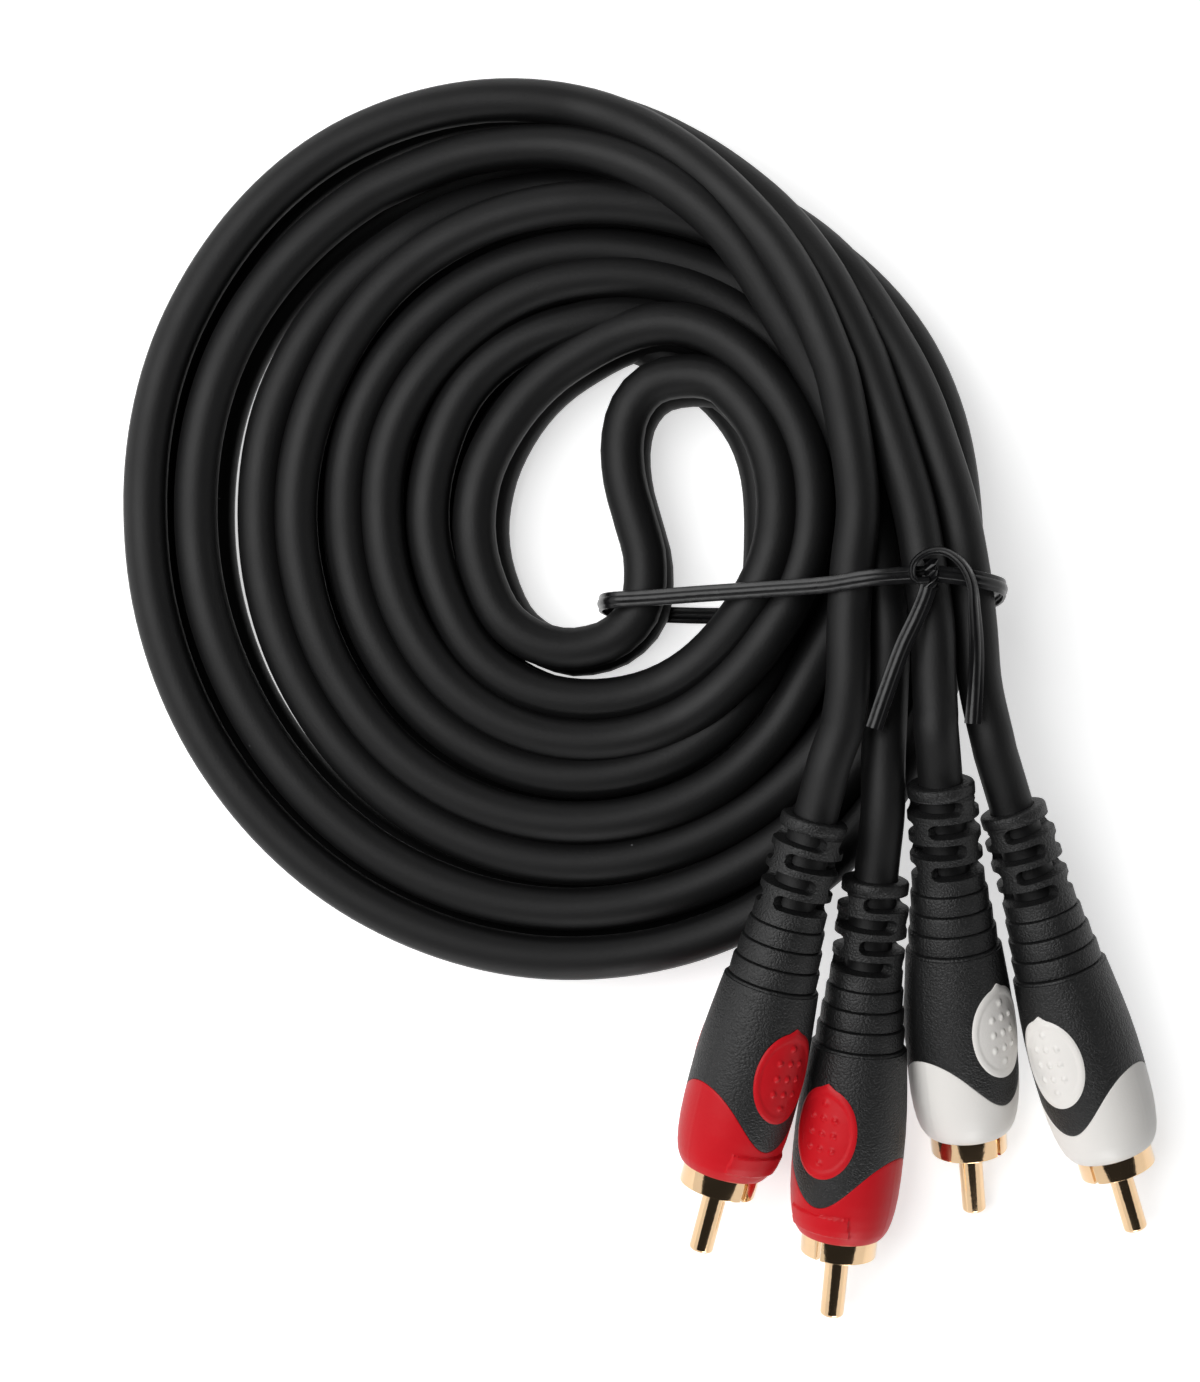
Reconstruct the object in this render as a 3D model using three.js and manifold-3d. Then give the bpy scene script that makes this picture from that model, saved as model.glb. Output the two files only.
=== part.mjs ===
// RCA audio cable: a black twin cable, coiled and tied, with a red and a white plug at each end.
// Millimetres, +Z up. The coil lies on the plane z = 0, with the origin under its middle S-bend.
// A plug is built along its own +Y: y = 0 is the tail of its boot and +Z is the side of its first pad.
import * as THREE from 'three';
import { mergeVertices } from 'three/addons/utils/BufferGeometryUtils.js';
import Module from 'manifold-3d';

const wasm = await Module();
wasm.setup();

// Fits
const CLEARANCE = 0.3;
const SEAM_GAP = 0.4;
const OVERLAP = 0.5;

// Twin cable
const CONDUCTOR_DIAMETER = 5.8;
const WEB_GAP = 0.1;
const TWIN_HEIGHT = 2 * CONDUCTOR_DIAMETER + WEB_GAP;
const DIELECTRIC_DIAMETER = 3.2;
const CORE_WIRE_DIAMETER = 1.0;

// Coil, seen from above: its centre, and its outer edge and its hole as radii at even bearings
const COIL_CENTRE = new THREE.Vector2(-8.5, -1.3);
const OUTER_RADII = [54.6, 54.3, 54.3, 59.5, 62.7, 61.7, 60.0, 59.0, 59.6, 60.0, 59.6, 57.0];
const HOLE_RADII = [23.5, 25.5, 26.0, 19.3, 13.6, 10.4, 9.5, 10.0, 12.1, 16.0, 21.6, 22.0];
const S_BEND = [
  [-9.0, -17.2], [-3.5, -15.9], [0.8, -11.8], [1.6, -5.5], [0.2, 0.0], [-1.4, 5.5],
  [-1.5, 11.5], [0.5, 16.5], [4.5, 19.6], [9.0, 19.4], [13.5, 15.8], [16.8, 9.0],
];
// The inner turns rise at the right over the turn that slips below them: x, y and rise
const RAISED_TURNS = [[-1.6, 24.3, 0], [11.2, 20.6, 2.2], [19.5, 8.9, 5.8], [20.4, -1.3, 5.8],
  [17.1, -11.6, 4.2], [9.5, -21.3, 0]];
const RAISED_WIDTH = 11.4;
// The last turns and the leads are piled over the rest at the right: x, y and rise
const PILE_END = -14.0;
const LEAD_PILE = [[-10.3, 48.2, 0], [7.1, 44.8, 2.0], [18.9, 36.4, 6.6], [27.3, 26.7, 10.2],
  [33.7, 14.1, 11.6], [36.6, 0.3, 11.6], [36.6, -7.0, 11.6], [36.6, PILE_END, 11.6]];
const PILE_WIDTH = 19.0;

// Plug body: the black boot and the coloured collar share one turned outline
const BODY_LENGTH = 48.7;
const BODY_DIAMETER = 14.7;
const TAIL_DIAMETER = 8.8;
const TAIL_LENGTH = 1.5;
const TAIL_EDGE = 0.3;
const NECK_DIAMETER = 9.5;
const SLOT_ROWS = 4;
const FIRST_SLOT = 2.6;
const SLOT_PITCH = 2.85;
const SLOT_HEIGHT = 1.4;
const SLOT_ANGLE = 140;
const SLOT_STEPS = 3;
const RIB_COUNT = 4;
const FIRST_RIB = 14.3;
const RIB_PITCH = 2.65;
const RIB_STEP = 0.22;
const LAST_RIB_DIAMETER = 12.2;
const BARREL_LENGTH = 15.5;
const BARREL_START = BODY_LENGTH - BARREL_LENGTH;
const BARREL_SHARES = [0.3, 0.65, 1];
const FRONT_ROUND = 4.4;
const FACE_DIAMETER = 11.6;
const FRONT_ANGLES = [0, 30, 60, 90];
const NOSE_LENGTH = 8.2;
const SEAM_PLACE = BODY_LENGTH - NOSE_LENGTH;
const SEAM_WAVE = 3.3;
const BODY_SEGMENTS = 20;
const SLEEVE_SEGMENTS = 16;
const PIN_SEGMENTS = 12;

// Oval grip pads, one on each broad side
const PAD_LENGTH = 13.4;
const PAD_WIDTH = 9.4;
const PAD_SETBACK = 14.8;
const PAD_PLACE = BODY_LENGTH - PAD_SETBACK;
const PAD_PROUD = 0.15;
const PAD_RIM = 0.6;
const PAD_DISH = 0.3;
const OVAL_STEPS = 6;

// Inside the plug
const SLEEVE_DIAMETER = 10.2;
const SLEEVE_WALL = 0.95;
const SLEEVE_BORE = SLEEVE_DIAMETER - 2 * SLEEVE_WALL;
const SLEEVE_SHOWS = 2.8;
const SLEEVE_DEPTH = 9.2;
const SLEEVE_FLOOR = 0.8;
const SLEEVE_SLIT = 0.6;
const SLEEVE_CHAMFER = 0.2;
const SLIT_LENGTH = 5.0;
const CRIMP_LENGTH = 3.5;
const CRIMP_WALL = 0.6;
const CRIMP_REACH = 5.2;
const STRAP_WIDTH = 2.4;
const INSULATOR_LENGTH = 2.4;
const INSULATOR_HUB_DIAMETER = 5.2;
const HUB_LENGTH = 2.2;
const PIN_DIAMETER = 3.2;
const PIN_REACH = 9.0;
const PIN_CHAMFER = 0.45;
const PIN_COLLAR_DIAMETER = 4.4;
const PIN_COLLAR_LENGTH = 0.6;
const CUP_LENGTH = 2.4;
const CORE_WALL = 0.8;
const CORE_REAR_WALL = 1.3;
const CORE_BEHIND_CRIMP = 3.4;
const CORE_BEHIND_SLEEVE = 2.1;

// Twist tie: a flat strip with a wire rib along its middle
const TIE_WIDTH = 2.2;
const TIE_THICKNESS = 0.5;
const TIE_RIB = 0.9;
const TIE_LOOP = [
  [37.4, -7.6, 24.6], [30.0, -8.0, 24.5], [24.6, -8.6, 22.4], [17.0, -9.2, 19.0], [8.4, -9.9, 15.6],
  [0.8, -10.6, 12.9], [-3.2, -10.8, 11.6], [-4.5, -11.0, 6.5], [-4.1, -11.4, 1.8], [-2.0, -12.0, 0.72],
  [8.0, -12.6, 0.72], [24.0, -12.4, 0.72], [41.0, -11.8, 0.72], [46.6, -11.2, 2.0], [47.9, -10.6, 7.0],
  [48.1, -9.9, 15.0], [47.0, -9.2, 21.6], [43.2, -8.4, 24.4], [38.6, -7.8, 24.8],
];
const TIE_TAIL_LEFT = [[37.6, -8.2, 25.3], [37.0, -10.6, 25.0], [35.8, -13.6, 24.4],
  [34.2, -17.0, 24.2], [32.3, -22.2, 23.9], [30.5, -27.6, 23.4]];
const TIE_TAIL_RIGHT = [[37.2, -8.6, 26.2], [35.5, -8.6, 26.3], [35.2, -6.8, 26.4], [36.6, -5.3, 26.4],
  [38.9, -4.9, 26.3], [41.2, -6.2, 26.0], [42.7, -8.6, 25.7], [43.2, -12.5, 25.2],
  [43.6, -17.6, 24.2], [43.5, -22.4, 23.6], [43.2, -27.0, 23.4]];
const KNOT = [[37.6, -5.9, 25.2], [37.7, -9.6, 25.2]];
const KNOT_TURNS = 1;

// Steps along each swept or rounded piece
const RING_STEPS = 42;
const HOLE_STEPS = 30;
const BEND_STEPS = 24;
const RAISED_STEPS = 12;
const PILE_STEPS = 16;
const LEAD_STEPS = 4;
const TIE_LOOP_STEPS = 32;
const TIE_TAIL_STEPS = 8;
const TIE_ARCH_STEPS = 18;
const KNOT_STEPS = 8;

// The four plugs: where each tail stands in plan, its heading off -Y, its fall and its roll, and how far
// the coil under its neck lifts it off the floor
const RED = 0xc8141e;
const WHITE = 0xebe8e2;
const PLUGS = [
  { name: 'end_a_red', colour: RED, tail: [23.1, -39.1], heading: -14.1, fall: 10.5, roll: 47, lift: 6 },
  { name: 'end_b_red', colour: RED, tail: [31.3, -47.2], heading: -4.8, fall: 11.2, roll: -35, lift: 1 },
  { name: 'end_a_white', colour: WHITE, tail: [39.5, -34.6], heading: 6.1, fall: 15.4, roll: 43, lift: 0 },
  { name: 'end_b_white', colour: WHITE, tail: [49.1, -38.1], heading: 17.6, fall: 10.5, roll: -47, lift: 1 },
];
// Route of each lead from the end of the pile to its plug's tail, which is added as the last point
const LEAD_START = PILE_END - CLEARANCE;
const LEAD_ROUTES = {
  end_a_red: [[27.5, LEAD_START, 19.9], [27.5, -17.0, 20.0], [27.3, -22.0, 21.2], [26.2, -28.4, 22.9]],
  end_b_red: [[32.9, LEAD_START, 15.6], [32.9, -17.0, 15.7], [32.6, -24.0, 17.0], [32.1, -32.0, 18.6]],
  end_a_white: [[38.4, LEAD_START, 20.0], [38.4, -17.0, 20.1], [38.5, -21.0, 20.6], [38.7, -26.0, 21.1]],
  end_b_white: [[44.2, LEAD_START, 17.4], [44.2, -17.0, 17.4], [44.8, -22.0, 17.8], [46.3, -29.0, 18.3]],
};
const LEAD_SIDES = 10;

// Places along the plug that follow from the sizes above
const RADIUS = 0.5;
const SLEEVE_FRONT = BODY_LENGTH + SLEEVE_SHOWS;
const INSULATOR_FACE = SLEEVE_FRONT - SLEEVE_DEPTH;
const INSULATOR_BACK = INSULATOR_FACE - INSULATOR_LENGTH;
const SLEEVE_BACK = INSULATOR_BACK - CLEARANCE - SLEEVE_FLOOR;
const HUB_BACK = INSULATOR_BACK - HUB_LENGTH;
const PIN_COLLAR_BACK = HUB_BACK - CLEARANCE - PIN_COLLAR_LENGTH;
const CUP_BACK = PIN_COLLAR_BACK - CUP_LENGTH;
const CRIMP_FRONT = SLEEVE_BACK - CRIMP_REACH;
const CRIMP_BACK = CRIMP_FRONT - CRIMP_LENGTH;
const CORE_START = CRIMP_BACK - CORE_BEHIND_CRIMP;
const CORE_STEP = SLEEVE_BACK - CORE_BEHIND_SLEEVE;
const CRIMP_BORE = CONDUCTOR_DIAMETER + 2 * CLEARANCE;
const CRIMP_DIAMETER = CRIMP_BORE + 2 * CRIMP_WALL;
const CORE_BORE = CRIMP_DIAMETER + 2 * CLEARANCE;
const CORE_SMALL = CORE_BORE + 2 * CORE_REAR_WALL;
const COLLAR_BORE = SLEEVE_DIAMETER + 2 * CLEARANCE;
const CORE_LARGE = COLLAR_BORE + 2 * CORE_WALL;
const RIBS_END = FIRST_RIB + (RIB_COUNT - 1) * RIB_PITCH;

const radians = THREE.MathUtils.degToRad;
const black = new THREE.MeshStandardMaterial({ color: 0x191a1b, roughness: 0.62, metalness: 0 });
const bootBlack = new THREE.MeshStandardMaterial({ color: 0x1d1e1f, roughness: 0.7, metalness: 0 });
const tieBlack = new THREE.MeshStandardMaterial({ color: 0x151617, roughness: 0.28, metalness: 0 });
const gold = new THREE.MeshStandardMaterial({ color: 0xd8bd88, roughness: 0.22, metalness: 1 });
const ivory = new THREE.MeshStandardMaterial({ color: 0xe6e0d0, roughness: 0.5, metalness: 0 });

// A closed mesh, with its shared corners merged, as a solid that can be joined and cut
function solid(geometry) {
  const bare = geometry.clone();
  bare.deleteAttribute('normal');
  bare.deleteAttribute('uv');
  const merged = mergeVertices(bare, 1e-4);
  const corners = merged.index.array;
  const triangles = [];
  for (let i = 0; i < corners.length; i += 3) {
    const [a, b, c] = corners.slice(i, i + 3);
    if (a !== b && b !== c && c !== a) triangles.push(a, b, c);
  }
  return new wasm.Manifold(new wasm.Mesh({
    numProp: 3,
    vertProperties: new Float32Array(merged.attributes.position.array),
    triVerts: new Uint32Array(triangles),
  }));
}

function meshOf(name, shape, material) {
  const mesh = shape.getMesh();
  const geometry = new THREE.BufferGeometry();
  geometry.setAttribute('position', new THREE.BufferAttribute(mesh.vertProperties, 3));
  geometry.setIndex(new THREE.BufferAttribute(mesh.triVerts, 1));
  geometry.computeVertexNormals();
  const result = new THREE.Mesh(geometry, material);
  result.name = name;
  return result;
}

// Turned solid from [place, diameter] pairs, run up the outside and back down the bore
function turned(outline, segments) {
  const profile = outline.map(([place, diameter]) => new THREE.Vector2(diameter * RADIUS, place));
  profile.push(profile[0].clone());
  return solid(new THREE.LatheGeometry(profile, segments));
}

function plate(shape, thickness, curveSegments = 1) {
  return new THREE.ExtrudeGeometry(shape, { depth: thickness, bevelEnabled: false, curveSegments });
}

function rectangle(width, height) {
  const shape = new THREE.Shape();
  shape.moveTo(-width / 2, -height / 2);
  shape.lineTo(width / 2, -height / 2);
  shape.lineTo(width / 2, height / 2);
  shape.lineTo(-width / 2, height / 2);
  return shape;
}

// A curve whose swept section keeps its first axis as near as it can to one direction
class LaidCurve extends THREE.CatmullRomCurve3 {
  constructor(points, across, turns = 0) {
    super(points.map((p) => new THREE.Vector3(...p)), false, 'centripetal');
    this.across = across;
    this.turns = turns;
  }

  computeFrenetFrames(steps) {
    const frames = { tangents: [], normals: [], binormals: [] };
    for (let i = 0; i <= steps; i += 1) {
      const tangent = this.getTangentAt(i / steps);
      const normal = this.across.clone().addScaledVector(tangent, -this.across.dot(tangent)).normalize();
      normal.applyAxisAngle(tangent, (i / steps) * this.turns * 2 * Math.PI);
      frames.tangents.push(tangent);
      frames.normals.push(normal);
      frames.binormals.push(new THREE.Vector3().crossVectors(tangent, normal));
    }
    return frames;
  }
}

const ACROSS_Y = new THREE.Vector3(0, 1, 0);
const ACROSS_X = new THREE.Vector3(1, 0, 0);
const UPRIGHT = new THREE.Vector3(0, 0, 1);

function swept(section, curve, steps) {
  return solid(new THREE.ExtrudeGeometry(section, { steps, extrudePath: curve, bevelEnabled: false }));
}

// Outline of the plug body from its tail to its front face, made larger all round by grow
function bodyOutline(grow = 0) {
  const points = [[0, TAIL_DIAMETER - 2 * TAIL_EDGE], [TAIL_EDGE, TAIL_DIAMETER],
    [TAIL_LENGTH, TAIL_DIAMETER], [TAIL_LENGTH + TAIL_EDGE, NECK_DIAMETER]];
  const ribGrowth = (LAST_RIB_DIAMETER - NECK_DIAMETER) / RIB_COUNT;
  for (let rib = 0; rib < RIB_COUNT; rib += 1) {
    const place = FIRST_RIB + rib * RIB_PITCH;
    const diameter = NECK_DIAMETER + (rib + 1) * ribGrowth;
    points.push([place, diameter - 2 * RIB_STEP], [place + RIB_STEP, diameter]);
  }
  for (const share of BARREL_SHARES) {
    const swell = (BODY_DIAMETER - LAST_RIB_DIAMETER) * Math.sin(share * Math.PI / 2);
    points.push([RIBS_END + share * (BARREL_START - RIBS_END), LAST_RIB_DIAMETER + swell]);
  }
  for (const angle of FRONT_ANGLES) {
    points.push([BODY_LENGTH - FRONT_ROUND * (1 - Math.sin(radians(angle))),
      FACE_DIAMETER + (BODY_DIAMETER - FACE_DIAMETER) * Math.cos(radians(angle))]);
  }
  return points.map(([place, diameter]) => [place, diameter + 2 * grow]);
}

// Everything ahead of the wavy seam, which reaches furthest forward over the pads
function aheadOfSeam(shift) {
  const radius = BODY_DIAMETER;
  const length = BODY_LENGTH;
  const block = new THREE.CylinderGeometry(radius, radius, length, BODY_SEGMENTS, 1);
  block.translate(0, SEAM_PLACE + shift + length / 2, 0);
  const corners = block.attributes.position;
  const waveAtRim = SEAM_WAVE * radius / (BODY_DIAMETER * RADIUS);
  for (let i = 0; i < corners.count; i += 1) {
    const [x, y, z] = [corners.getX(i), corners.getY(i), corners.getZ(i)];
    if (y < SEAM_PLACE + shift + length / 2 && Math.hypot(x, z) > radius / 2) {
      corners.setY(i, y + waveAtRim * Math.cos(2 * Math.atan2(x, z)));
    }
  }
  return solid(block);
}

// Oval prism through both broad sides of the body, larger than a pad by grow
function padPrism(grow) {
  const oval = new THREE.Shape();
  oval.absellipse(0, 0, PAD_WIDTH / 2 + grow, PAD_LENGTH / 2 + grow, 0, 2 * Math.PI);
  const prism = plate(oval, 2 * BODY_DIAMETER, OVAL_STEPS);
  prism.translate(0, PAD_PLACE, -BODY_DIAMETER);
  return solid(prism);
}

function wedge(place, facing) {
  const half = radians(SLOT_ANGLE / 2);
  const sector = new THREE.Shape();
  sector.moveTo(0, 0);
  sector.absarc(0, 0, BODY_DIAMETER, facing - half, facing + half);
  const piece = plate(sector, SLOT_HEIGHT, SLOT_STEPS);
  piece.rotateX(-Math.PI / 2);
  piece.translate(0, place - SLOT_HEIGHT / 2, 0);
  return solid(piece);
}

// Boot: bored for the cable, hollow over the core, with staggered slots and a window for each pad
function boot() {
  const bore = CONDUCTOR_DIAMETER + 2 * CLEARANCE;
  const small = CORE_SMALL + 2 * CLEARANCE;
  const large = CORE_LARGE + 2 * CLEARANCE;
  const inside = [[BODY_LENGTH, large], [CORE_STEP - CLEARANCE, large], [CORE_STEP - 2 * CLEARANCE, small],
    [CORE_START - CLEARANCE, small], [CORE_START - CLEARANCE, bore], [0, bore]];
  const outside = bodyOutline().slice(0, -1);
  outside.push([BODY_LENGTH, large + OVERLAP]);
  let shell = turned([...outside, ...inside], BODY_SEGMENTS).subtract(aheadOfSeam(0));
  shell = shell.subtract(padPrism(CLEARANCE));
  for (let row = 0; row < SLOT_ROWS; row += 1) {
    const facing = row % 2 === 0 ? 0 : Math.PI / 2;
    const place = FIRST_SLOT + row * SLOT_PITCH;
    for (const side of [0, Math.PI]) shell = shell.subtract(wedge(place, facing + side));
  }
  return shell;
}

// Collar: the coloured moulding, a nose ahead of the seam and a core under the boot with two pads
function collar() {
  const outline = bodyOutline();
  const bore = [[BODY_LENGTH, COLLAR_BORE], [0, COLLAR_BORE]];
  const nose = turned([...outline, ...bore], BODY_SEGMENTS)
    .intersect(aheadOfSeam(SEAM_GAP));
  const coreFront = SEAM_PLACE + SEAM_WAVE + SEAM_GAP + 2 * OVERLAP;
  const core = turned([[CORE_START, CORE_BORE], [CORE_START, CORE_SMALL], [CORE_STEP, CORE_SMALL],
    [CORE_STEP + CLEARANCE, CORE_LARGE], [coreFront, CORE_LARGE], [coreFront, COLLAR_BORE],
    [SLEEVE_BACK - CLEARANCE, COLLAR_BORE], [SLEEVE_BACK - CLEARANCE, CORE_BORE]], BODY_SEGMENTS);
  const proud = turned([...bodyOutline(PAD_PROUD), ...bore], BODY_SEGMENTS);
  const dish = turned([...bodyOutline(2 * BODY_DIAMETER), ...bodyOutline(PAD_PROUD - PAD_DISH).reverse()],
    BODY_SEGMENTS);
  const [padsFront, inWall] = [CORE_STEP + PAD_LENGTH, CORE_SMALL - CORE_WALL];
  const carried = turned([[CORE_START, inWall], [CORE_START, 2 * BODY_DIAMETER],
    [padsFront, 2 * BODY_DIAMETER], [padsFront, inWall]], BODY_SEGMENTS);
  const pads = padPrism(0).intersect(proud).intersect(carried).subtract(padPrism(-PAD_RIM).intersect(dish));
  return nose.add(core).add(pads);
}

// Ground sleeve: a gold cup with a slit, a pierced floor and a strap to the crimp round the cable
function sleeve() {
  const hole = INSULATOR_HUB_DIAMETER + 2 * CLEARANCE;
  const floor = SLEEVE_BACK + SLEEVE_FLOOR;
  let cup = turned([[SLEEVE_BACK, SLEEVE_DIAMETER], [SLEEVE_FRONT - SLEEVE_CHAMFER, SLEEVE_DIAMETER],
    [SLEEVE_FRONT, SLEEVE_DIAMETER - 2 * SLEEVE_CHAMFER], [SLEEVE_FRONT, SLEEVE_BORE],
    [floor, SLEEVE_BORE], [floor, hole], [SLEEVE_BACK, hole]], SLEEVE_SEGMENTS);
  const slit = plate(rectangle(SLEEVE_SLIT, SLIT_LENGTH), SLEEVE_DIAMETER);
  slit.translate(0, SLEEVE_FRONT - SLIT_LENGTH / 2 + OVERLAP, 0);
  cup = cup.subtract(solid(slit));
  const crimp = turned([[CRIMP_BACK, CRIMP_BORE], [CRIMP_BACK, CRIMP_DIAMETER], [CRIMP_FRONT, CRIMP_DIAMETER],
    [CRIMP_FRONT, CRIMP_BORE]], SLEEVE_SEGMENTS);
  const strapEnd = SLEEVE_BACK + SLEEVE_FLOOR / 2;
  const strapTube = turned([[CRIMP_BACK, CRIMP_BORE], [CRIMP_BACK, CRIMP_DIAMETER],
    [strapEnd, CRIMP_DIAMETER], [strapEnd, CRIMP_BORE]], SLEEVE_SEGMENTS);
  const strapSide = plate(rectangle(STRAP_WIDTH, 2 * BODY_LENGTH), CRIMP_DIAMETER);
  strapSide.translate(0, 0, -CRIMP_DIAMETER);
  return cup.add(crimp).add(strapTube.intersect(solid(strapSide)));
}

function insulator() {
  const bore = PIN_DIAMETER + 2 * CLEARANCE;
  const disc = SLEEVE_BORE - 2 * CLEARANCE;
  return turned([[HUB_BACK, INSULATOR_HUB_DIAMETER], [INSULATOR_BACK, INSULATOR_HUB_DIAMETER],
    [INSULATOR_BACK, disc], [INSULATOR_FACE, disc], [INSULATOR_FACE, bore], [HUB_BACK, bore]], PIN_SEGMENTS);
}

// Centre pin: solid, with a collar that seats behind the insulator and a solder cup at its back
function pin() {
  const tip = SLEEVE_FRONT + PIN_REACH;
  const cupFloor = CUP_BACK + CUP_LENGTH - CLEARANCE;
  const cupBore = CORE_WIRE_DIAMETER + 2 * CLEARANCE;
  return turned([[cupFloor, 0], [cupFloor, cupBore],
    [CUP_BACK, cupBore], [CUP_BACK, PIN_DIAMETER], [PIN_COLLAR_BACK, PIN_DIAMETER],
    [PIN_COLLAR_BACK, PIN_COLLAR_DIAMETER], [PIN_COLLAR_BACK + PIN_COLLAR_LENGTH, PIN_COLLAR_DIAMETER],
    [PIN_COLLAR_BACK + PIN_COLLAR_LENGTH, PIN_DIAMETER], [tip - PIN_CHAMFER, PIN_DIAMETER],
    [tip, PIN_DIAMETER - 2 * PIN_CHAMFER], [tip, 0]], PIN_SEGMENTS);
}

// The stripped end of the cable inside the plug: jacket, dielectric and core wire
function wireEnd() {
  const dielectricFront = CUP_BACK - CLEARANCE;
  return turned([[CLEARANCE / 2, 0], [CLEARANCE / 2, CONDUCTOR_DIAMETER], [CRIMP_FRONT, CONDUCTOR_DIAMETER],
    [CRIMP_FRONT, DIELECTRIC_DIAMETER], [dielectricFront, DIELECTRIC_DIAMETER],
    [dielectricFront, CORE_WIRE_DIAMETER], [PIN_COLLAR_BACK - 2 * CLEARANCE, CORE_WIRE_DIAMETER],
    [PIN_COLLAR_BACK - 2 * CLEARANCE, 0]], PIN_SEGMENTS);
}

// Height of a plug's tail over the floor when the plug falls by an angle until it touches
function tailHeight(fall) {
  const touch = [...bodyOutline(), [SLEEVE_FRONT, SLEEVE_DIAMETER], [SLEEVE_FRONT + PIN_REACH, PIN_DIAMETER]];
  const heights = touch.map(([place, diameter]) => (
    place * Math.sin(fall) + diameter * RADIUS * Math.cos(fall)));
  return Math.max(...heights);
}

const pieces = {
  pin: pin(), insulator: insulator(), sleeve: sleeve(), collar: collar(), boot: boot(), wire_end: wireEnd(),
};

function plug({ name, colour, tail, heading, fall, roll, lift }) {
  const coloured = new THREE.MeshStandardMaterial({ color: colour, roughness: 0.42, metalness: 0 });
  const materials = { pin: gold, insulator: ivory, sleeve: gold, collar: coloured, boot: bootBlack,
    wire_end: black };
  const group = new THREE.Group();
  for (const [piece, shape] of Object.entries(pieces)) {
    group.add(meshOf(`${name}_${piece}`, shape, materials[piece]));
  }
  const axis = new THREE.Vector3(Math.sin(radians(heading)) * Math.cos(radians(fall)),
    -Math.cos(radians(heading)) * Math.cos(radians(fall)), -Math.sin(radians(fall)));
  const up = UPRIGHT.clone().addScaledVector(axis, -UPRIGHT.dot(axis)).normalize();
  up.applyAxisAngle(axis, radians(-roll));
  group.quaternion.setFromRotationMatrix(
    new THREE.Matrix4().makeBasis(new THREE.Vector3().crossVectors(axis, up), axis, up));
  group.position.set(...tail, tailHeight(radians(fall)) + lift);
  return { group, axis };
}

// A lead: a round tube from the pile to the tail of its plug, square to both
function lead(name, plugGroup, axis) {
  const end = plugGroup.position.clone().addScaledVector(axis, -CLEARANCE / 2);
  const before = end.clone().addScaledVector(axis, -CONDUCTOR_DIAMETER / 2);
  const route = [...LEAD_ROUTES[name], before.toArray(), end.toArray()];
  const section = new THREE.Shape();
  section.absarc(0, 0, CONDUCTOR_DIAMETER / 2, 0, 2 * Math.PI);
  const curve = new LaidCurve(route, ACROSS_X);
  const tube = new THREE.ExtrudeGeometry(section,
    { steps: LEAD_STEPS, extrudePath: curve, bevelEnabled: false, curveSegments: LEAD_SIDES / 2 });
  return meshOf(`${name}_lead`, solid(tube), black);
}

function ringCurve(radii) {
  const points = radii.map((radius, i) => {
    const bearing = (i / radii.length) * 2 * Math.PI;
    const [x, y] = [radius * Math.cos(bearing), radius * Math.sin(bearing)];
    return new THREE.Vector3(COIL_CENTRE.x + x, COIL_CENTRE.y + y, 0);
  });
  return new THREE.CatmullRomCurve3(points, true);
}

function flatShape(curve, count) {
  return new THREE.Shape(curve.getPoints(count).slice(0, -1).map((p) => new THREE.Vector2(p.x, p.y)));
}

// A bar of the coil, one twin cable high, on the plane z = 0 or raised over it by each station's rise
function bar(stations, width, steps) {
  const route = stations.map(([x, y, rise = 0]) => [x, y, TWIN_HEIGHT / 2 + rise]);
  return swept(rectangle(TWIN_HEIGHT, width), new LaidCurve(route, UPRIGHT), steps);
}

// Section of the tie: flat, with its wire showing as a low ridge on both faces
function tieSection() {
  const [wide, thin, rib] = [TIE_WIDTH / 2, TIE_THICKNESS / 2, TIE_RIB / 2];
  const shape = new THREE.Shape();
  shape.moveTo(-wide, -thin);
  for (const [x, y] of [[0, -rib], [wide, -thin], [wide, thin], [0, rib], [-wide, thin]]) shape.lineTo(x, y);
  return shape;
}

// The coil as one solid: the flat ring of turns, its S-bend, the raised turns and the pile of leads
function coil() {
  const ring = solid(plate(flatShape(ringCurve(OUTER_RADII), RING_STEPS), TWIN_HEIGHT));
  const hole = plate(flatShape(ringCurve(HOLE_RADII), HOLE_STEPS), TWIN_HEIGHT + 2 * OVERLAP);
  hole.translate(0, 0, -OVERLAP);
  const tieRoom = rectangle(TIE_WIDTH + 4 * CLEARANCE, TIE_RIB + 4 * CLEARANCE);
  return ring.subtract(solid(hole))
    .add(bar(S_BEND, CONDUCTOR_DIAMETER, BEND_STEPS))
    .add(bar(RAISED_TURNS, RAISED_WIDTH, RAISED_STEPS))
    .add(bar(LEAD_PILE, PILE_WIDTH, PILE_STEPS))
    .subtract(swept(tieRoom, new LaidCurve(TIE_LOOP, ACROSS_Y), TIE_LOOP_STEPS));
}

// The twist tie as one strip: round the coil, twisted at the knot, with a free tail on each side
function twistTie() {
  const section = tieSection();
  const knotSection = rectangle(TIE_WIDTH, 2 * TIE_RIB);
  return swept(section, new LaidCurve(TIE_LOOP, ACROSS_Y), TIE_LOOP_STEPS)
    .add(swept(section, new LaidCurve(TIE_TAIL_LEFT, ACROSS_X), TIE_TAIL_STEPS))
    .add(swept(section, new LaidCurve(TIE_TAIL_RIGHT, UPRIGHT), TIE_ARCH_STEPS))
    .add(swept(knotSection, new LaidCurve(KNOT, ACROSS_X, KNOT_TURNS), KNOT_STEPS));
}

const cable = new THREE.Group();
cable.add(meshOf('coiled_cable', coil(), black));
cable.add(meshOf('twist_tie', twistTie(), tieBlack));
for (const place of PLUGS) {
  const { group, axis } = plug(place);
  cable.add(group, lead(place.name, group, axis));
}

export default cable;
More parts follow.
